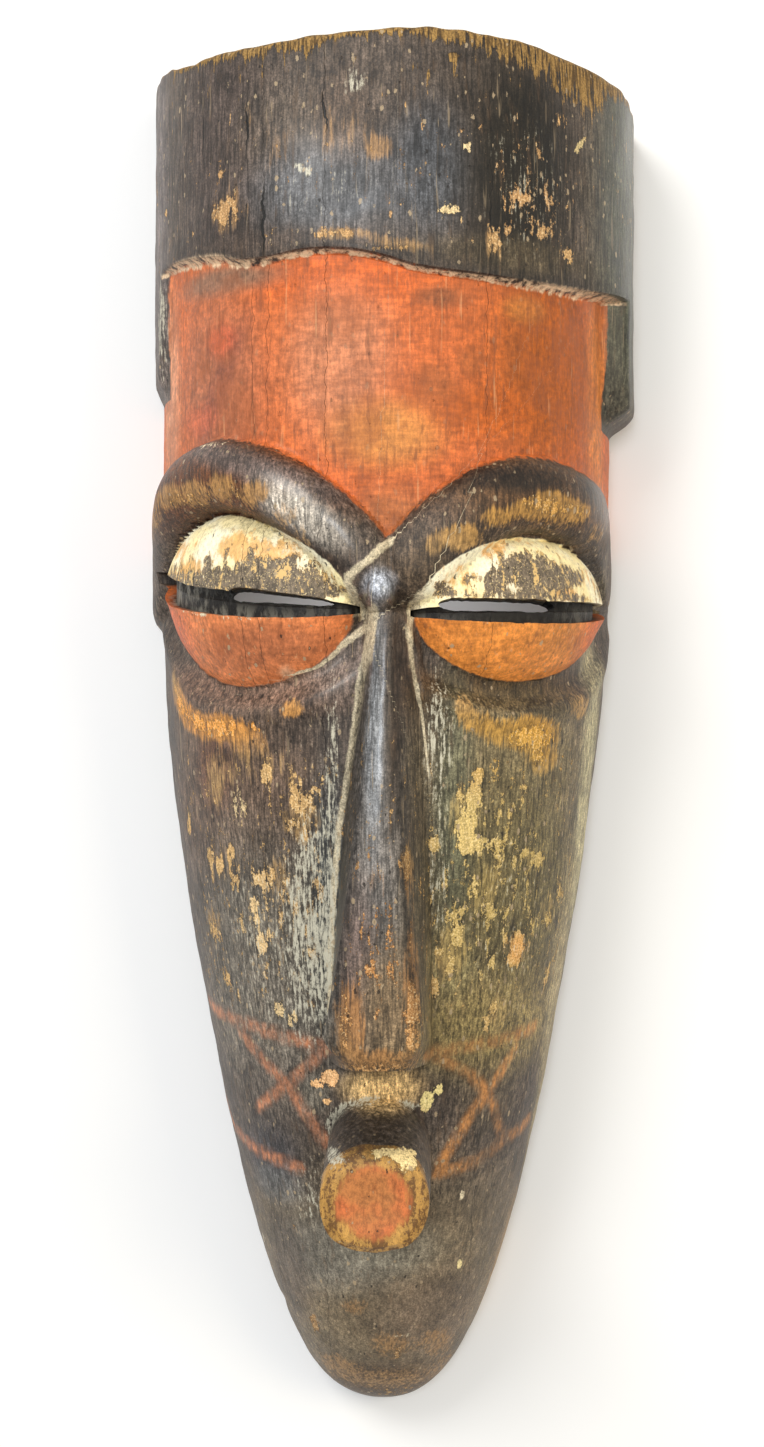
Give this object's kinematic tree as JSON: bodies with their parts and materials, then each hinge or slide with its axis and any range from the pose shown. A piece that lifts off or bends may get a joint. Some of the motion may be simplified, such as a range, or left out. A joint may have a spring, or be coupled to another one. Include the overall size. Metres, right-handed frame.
{
  "type": "carved wooden face mask",
  "caption": "Long arched wooden face mask, hollow behind, with lidded slit eyes, arched brows, a long wedge nose and a short tube mouth, under a plain crown band.",
  "frame": {"origin": "under the middle of the mask, on the plane of its flat back rim", "axes": "+X to the right of the face as seen from the front, +Y up the face to the crown, +Z out of the face, away from the wearer"},
  "size_m": [0.1762, 0.479, 0.112],
  "materials": {
    "painted_wood": "old hand-carved wood with worn matt paint: near-black over most of it, brick orange forehead and lower lids, cream upper lids, bare ochre wood where it has rubbed through"
  },
  "bodies": {
    "root": {"mask": "painted_wood"}
  },
  "joints": []
}
